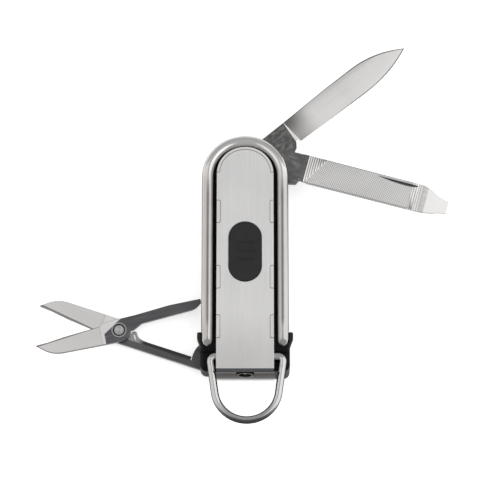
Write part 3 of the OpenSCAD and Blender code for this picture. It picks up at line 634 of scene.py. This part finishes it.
def file_teeth(bm):
    """Cuts straight and crossed rows of teeth into both faces of the file."""
    turn = Matrix.Rotation(radians(FILE_TURN), 4, "Z")
    to_file = (Matrix.Translation(Vector(PIVOT) * MM) @ turn).inverted()
    run = turn.to_3x3() @ Vector((1, 0, 0))
    side = turn.to_3x3() @ Vector((0, 1, 0))

    def spot(point):
        """A point in the file's own mm; its height is measured from the file's middle."""
        local = to_file @ point
        return local.x / MM, local.y / MM, local.z / MM - FILE_MIDDLE

    def in_straight_zone(x, y, slack=0.0):
        return x > RIB_START - slack or x - COARSE_SLANT * y < COARSE_START + slack

    def zone_of(face):
        x, y, height = spot(face.calc_center_median())
        if abs(face.normal.z) < 0.99 or not CUTS_FROM < x < CUTS_TO or abs(height) < 0.4:
            return None
        return "straight" if in_straight_zone(x, y) else "crossed"

    def slice_at(zone, along, across, offset):
        """Cuts the faces of a zone where along * x + across * y is the offset."""
        normal = along * run + across * side
        faces = [f for f in bm.faces
                 if zone == "all" and abs(f.normal.z) > 0.99 or zone_of(f) == zone]
        parts = {e for f in faces for e in f.edges} | {v for f in faces for v in f.verts}
        point = Vector(PIVOT) * MM + normal * (offset * MM / normal.length_squared)
        bmesh.ops.bisect_plane(bm, geom=faces + list(parts), dist=0.0005 * MM,
                               plane_co=point, plane_no=normal)

    def tooth(x, pitch):
        """1 on a crest and 0 at the bottom of a groove."""
        return 1 - abs(x / (pitch / 2) % 2 - 1)

    for along, across, offset in ((1, 0, CUTS_FROM), (1, 0, CUTS_TO), (1, 0, RIB_START),
                                  (1, -COARSE_SLANT, COARSE_START)):
        slice_at("all", along, across, offset)
    rows = (("straight", 1.0, 0.0, COARSE), ("crossed", CUT_RUN, CUT_SIDE, CUT),
            ("crossed", CUT_RUN, -CUT_SIDE, CUT))
    for zone, along, across, pitch in rows:
        first = int((CUTS_FROM * along - 4) / (pitch / 2))
        last = int((CUTS_TO * along + 4) / (pitch / 2))
        for i in range(first, last):
            slice_at(zone, along, across, i * pitch / 2)

    teeth = {v for f in bm.faces if zone_of(f) for v in f.verts}
    for v in teeth:
        x, y, height = spot(v.co)
        if in_straight_zone(x, y, slack=0.01):
            share = tooth(x, COARSE)
        else:
            share = min(tooth(CUT_RUN * x + CUT_SIDE * y, CUT), tooth(CUT_RUN * x - CUT_SIDE * y, CUT))
        v.co.z -= (1 if height > 0 else -1) * TOOTH_DEPTH * (1 - share) * MM
    print("file teeth:", len(teeth), "points")


# %% Tools
softened("knife_blade", 0.05, blade_finish, "blade", "blade_steel")
softened("nail_file", 0.09, file_finish, "file", "file_steel", detail=file_teeth)
softened("scissors_fixed_half", 0.14, lower_half_finish, "scissors", "scissor_steel")
softened("scissors_moving_half", 0.14, upper_half_finish, "scissors_lever", "scissor_steel")
softened("blade_backspring", 0.06, spring_finish, "handle", "spring_steel")
softened("file_backspring", 0.06, spring_finish, "handle", "spring_steel")
softened("scissors_backspring", 0.06, spring_finish, "handle", "spring_steel")


# %% [markdown]
# The bar and the ring are wires. Each starts as one circle of vertices, and turning or pulling that
# circle along draws the whole wire in one seamless skin, just as a bender makes it from one length.

# %% Bent wires
class Wire:
    """A round wire drawn by moving a circle of edges."""

    def __init__(self, start, heading, radius):
        self.bm = bmesh.new()
        made = bmesh.ops.create_circle(self.bm, cap_ends=False, segments=32, radius=radius * MM)
        turn = Vector(heading).to_track_quat("Z", "X").to_matrix().to_4x4()
        place = Matrix.Translation(Vector(start) * MM) @ turn
        bmesh.ops.transform(self.bm, matrix=place, verts=made["verts"])
        self.ring = list(self.bm.edges)
        self.length = 0.0

    def pull(self, step):
        """A straight stretch."""
        made = bmesh.ops.extrude_edge_only(self.bm, edges=self.ring)["geom"]
        verts = [g for g in made if isinstance(g, bmesh.types.BMVert)]
        bmesh.ops.translate(self.bm, vec=Vector(step) * MM, verts=verts)
        self.keep(made, verts)
        self.length += Vector(step).length

    def bend(self, centre, axis, degrees, steps):
        """A bend about an axis."""
        made = bmesh.ops.spin(self.bm, geom=self.ring, cent=Vector(centre) * MM, axis=axis,
                              angle=radians(degrees), steps=steps, use_duplicate=False)["geom_last"]
        self.keep(made, [g for g in made if isinstance(g, bmesh.types.BMVert)])

    def keep(self, made, verts):
        tips = set(verts)
        self.ring = [g for g in made if isinstance(g, bmesh.types.BMEdge) and set(g.verts) <= tips]

    def close(self, name):
        ends = [e for e in self.bm.edges if e.is_boundary]
        bmesh.ops.holes_fill(self.bm, edges=ends, sides=0)
        rims = sharp_edges(self.bm, 60)
        bmesh.ops.bevel(self.bm, geom=rims, offset=0.15 * MM, **BEVEL)
        return as_piece(name, self.bm, 40)


bar_r = 1.5
bar_low, bar_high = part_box("wire_frame")
bar_side = bar_high[0] / MM - bar_r
arch_y = bar_high[1] / MM - bar_r - bar_side
bar_level = bar_high[2] / MM - bar_r
leg_r = bar_level - bar_low[2] / MM
leg_y = bar_low[1] / MM + bar_r
bar = Wire((bar_side, leg_y, bar_level - leg_r), (0, 0, 1), bar_r)
bar.bend((bar_side, leg_y + leg_r, bar_level - leg_r), (-1, 0, 0), 90, 12)
leg_run = arch_y - leg_y - leg_r
bar.pull((0, leg_run, 0))
bar.bend((0, arch_y, bar_level), (0, 0, 1), 180, 64)
bar.pull((0, -leg_run, 0))
bar.bend((-bar_side, leg_y + leg_r, bar_level - leg_r), (-1, 0, 0), -90, 12)
dress(bar.close("round_bar"), bar_finish, "handle", "satin_bar", "wire_frame")
print("bar straights:", round(bar.length, 2), "mm")

# %% Key ring
ring_low, ring_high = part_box("key_ring")
ring_wire = 0.925
ring_mid = (ring_low[0] + ring_high[0]) / 2 / MM
hinge_y = ring_high[1] / MM - ring_wire
ring_level = (ring_low[2] + ring_high[2]) / 2 / MM
small_r, big_r = 1.3, 7.8
reach, half_w, stub = 8.1, 8.8, 5.5
bend_x = half_w - small_r
gap_x, gap_y = bend_x, reach - small_r
lean = atan2(gap_y, gap_x) - acos((big_r - small_r) / hypot(gap_x, gap_y))
leg = sqrt(gap_x ** 2 + gap_y ** 2 - (big_r - small_r) ** 2)
down = (sin(lean) * leg, -cos(lean) * leg, 0)
corner, round_end = -(90 - degrees(lean)), -(180 + 2 * degrees(lean))
ring = Wire((ring_mid + stub, hinge_y, ring_level), (1, 0, 0), ring_wire)
ring.pull((bend_x - stub, 0, 0))
ring.bend((ring_mid + bend_x, hinge_y - small_r, ring_level), (0, 0, 1), corner, 14)
ring.pull(down)
ring.bend((ring_mid, hinge_y - reach, ring_level), (0, 0, 1), round_end, 72)
ring.pull((down[0], -down[1], 0))
ring.bend((ring_mid - bend_x, hinge_y - small_r, ring_level), (0, 0, 1), corner, 14)
ring.pull((bend_x - stub, 0, 0))
dress(ring.close("ring_wire"), wire_finish, "ring", "bright_wire", "key_ring")
print("ring leans", round(degrees(lean), 2), "degrees")


# %% [markdown]
# Pins, the rivet, the lamp and its bezel are round, so half an outline turned through a full circle
# makes each of them. The rivet's head gets a shallow dimple, and every rim is rounded.

# %% Turned pieces
def lathe(name, outline, centre, up=(0, 0, 1), sides=48):
    """A closed round piece from (radius, height) points, which start and end on its axis."""
    bm = bmesh.new()
    verts = [bm.verts.new((r * MM, 0, h * MM)) for r, h in outline]
    edges = [bm.edges.new(pair) for pair in zip(verts, verts[1:])]
    bmesh.ops.spin(bm, geom=verts + edges, cent=(0, 0, 0), axis=(0, 0, 1), angle=2 * pi, steps=sides,
                   use_merge=True, use_duplicate=False)
    bmesh.ops.remove_doubles(bm, verts=bm.verts, dist=0.001 * MM)
    turn = Vector(up).to_track_quat("Z", "Y").to_matrix().to_4x4()
    bmesh.ops.transform(bm, matrix=Matrix.Translation(Vector(centre) * MM) @ turn, verts=bm.verts)
    return as_piece(name, bm, 40)


def pin_outline(r, low, high):
    rim = r - 0.12
    return [(0, low), (rim, low), (r, low + 0.12), (r, high - 0.12), (rim, high), (0, high)]


for node in ("tool_pin", "scissors_pin", "top_pin", "tool_spring_pin", "scissors_spring_pin"):
    low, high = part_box(node)
    radius = (high[0] - low[0]) / 2 / MM
    x, y, _ = middle(node)
    pin = lathe("turned_" + node, pin_outline(radius, low[2] / MM, high[2] / MM), (x, y, 0))
    dress(pin, turned("turned_" + node, (x, y, 0)), "handle", "pin_steel", node)
    print(node, "radius", round(radius, 2), "mm")

# %% Rivet
rivet_low, rivet_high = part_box("scissors_rivet")
rivet_top = rivet_high[2] / MM
rivet_base = rivet_low[2] / MM
rivet_shape = [(0, rivet_base), (1.15, rivet_base), (1.25, rivet_base + 0.1), (1.25, rivet_top - 0.08),
               (1.17, rivet_top), (0.32, rivet_top), (0.2, rivet_top - 0.06), (0, rivet_top - 0.09)]
rivet = lathe("scissor_rivet", rivet_shape, (RIVET[0], RIVET[1], 0), sides=64)
dress(rivet, turned("rivet_steel", RIVET, 0.46, 0.38), "scissors", "pin_steel", "scissors_rivet")
print("rivet top at", round(rivet_top, 2), "mm")

# %% Lamp and bezel
lamp_r, flange_r, flange_t = 1.5, 1.9, 0.9
lamp_low, lamp_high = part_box("lamp")
lamp_y = lamp_low[1] / MM
lamp_level = (lamp_low[2] + lamp_high[2]) / 2 / MM
lamp_back = lamp_high[1] / MM - lamp_y
dome = [(lamp_r * sin(a * pi / 24), lamp_r * cos(a * pi / 24)) for a in range(13)]
lamp_shape = [(0, -lamp_back), (flange_r, -lamp_back), (flange_r, flange_t - lamp_back),
              (lamp_r, flange_t - lamp_back)]
lamp_shape += [(r, h - lamp_r) for r, h in reversed(dome)]
lamp = lathe("lamp_body", lamp_shape, (0, lamp_y, lamp_level), (0, -1, 0))
dress(lamp, lamp_finish, "handle", "lamp_clear", "lamp")
die = lathe("lamp_die", [(0, -3.4), (0.75, -3.4), (0.95, -2.6), (0.85, -2.6), (0.6, -3.1), (0, -3.1)],
            (0, lamp_y, lamp_level), (0, -1, 0), 24)
dress(die, die_finish, "handle", "lamp_clear")
bez_low, bez_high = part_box("lamp_bezel")
bez_r = (bez_high[0] - bez_low[0]) / 2 / MM
bez_t = (bez_high[1] - bez_low[1]) / MM
bez_shape = [(1.55, 0), (bez_r - 0.1, 0), (bez_r, -0.1), (bez_r, 0.1 - bez_t), (bez_r - 0.1, -bez_t),
             (1.55, -bez_t), (1.55, 0)]
bezel = lathe("bezel_ring", bez_shape, (0, bez_low[1] / MM, lamp_level), (0, -1, 0))
dress(bezel, brushed("bezel_dark", 0.05, 0.45), "handle", "bright_wire", "lamp_bezel")
print("lamp level", round(lamp_level, 2), "mm, bezel radius", round(bez_r, 2), "mm")

# %% Leaf spring, screw and the inner pieces
leaf_finish = brushed("leaf_steel", 1.0, 0.30, RIVET, LOWER_TURN)
leaf_x = leaf_finish.place(RIVET, LOWER_TURN)[0]
# The rims term is a painted highlight on the spring's rounded edges.
leaf_tone = 0.06 + 0.34 * leaf_x.ramp(-7.0, -5.0) + 0.10 * leaf_finish.rims(0.98, 0.90)
leaf_finish.set("Base Color", leaf_finish.grey(leaf_tone, leaf_finish.colour()))
softened("scissors_leaf_spring", 0.08, leaf_finish, "scissors", "spring_steel")
softened("end_screw", 0.05, turned("screw_steel", middle("end_screw")), "handle", "pin_steel")
softened("coin_cell", 0.12, cell_finish, "handle", "cell_steel")
softened("cell_clip", 0.04, brass_finish, "handle", "contact_brass")
softened("dome_switch", 0.08, brass_finish, "handle", "contact_brass")
softened("circuit_board", 0.04, board_finish, "handle", "board_laminate")
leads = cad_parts["lamp_leads"].data
leads.materials.clear()
leads.materials.append(cell_finish.material)
print("inner pieces dressed")


# %% [markdown]
# The table is a plain pale sheet, bright enough to look white, and it takes a faint shadow.

# %% Table
table_finish = Finish("pale_table", Base_Color=(0.93, 0.93, 0.93), Roughness=0.9, Metallic=0.0)
table_finish.set("Emission Color", (1.0, 1.0, 1.0))
table_finish.set("Emission Strength", 0.55)
table_bm = bmesh.new()
bmesh.ops.create_grid(table_bm, x_segments=1, y_segments=1, size=1.6)
bmesh.ops.translate(table_bm, vec=(0, 0, -0.00002), verts=table_bm.verts)
table = as_piece("table", table_bm)
table.data.materials.append(table_finish.material)
print("table made")
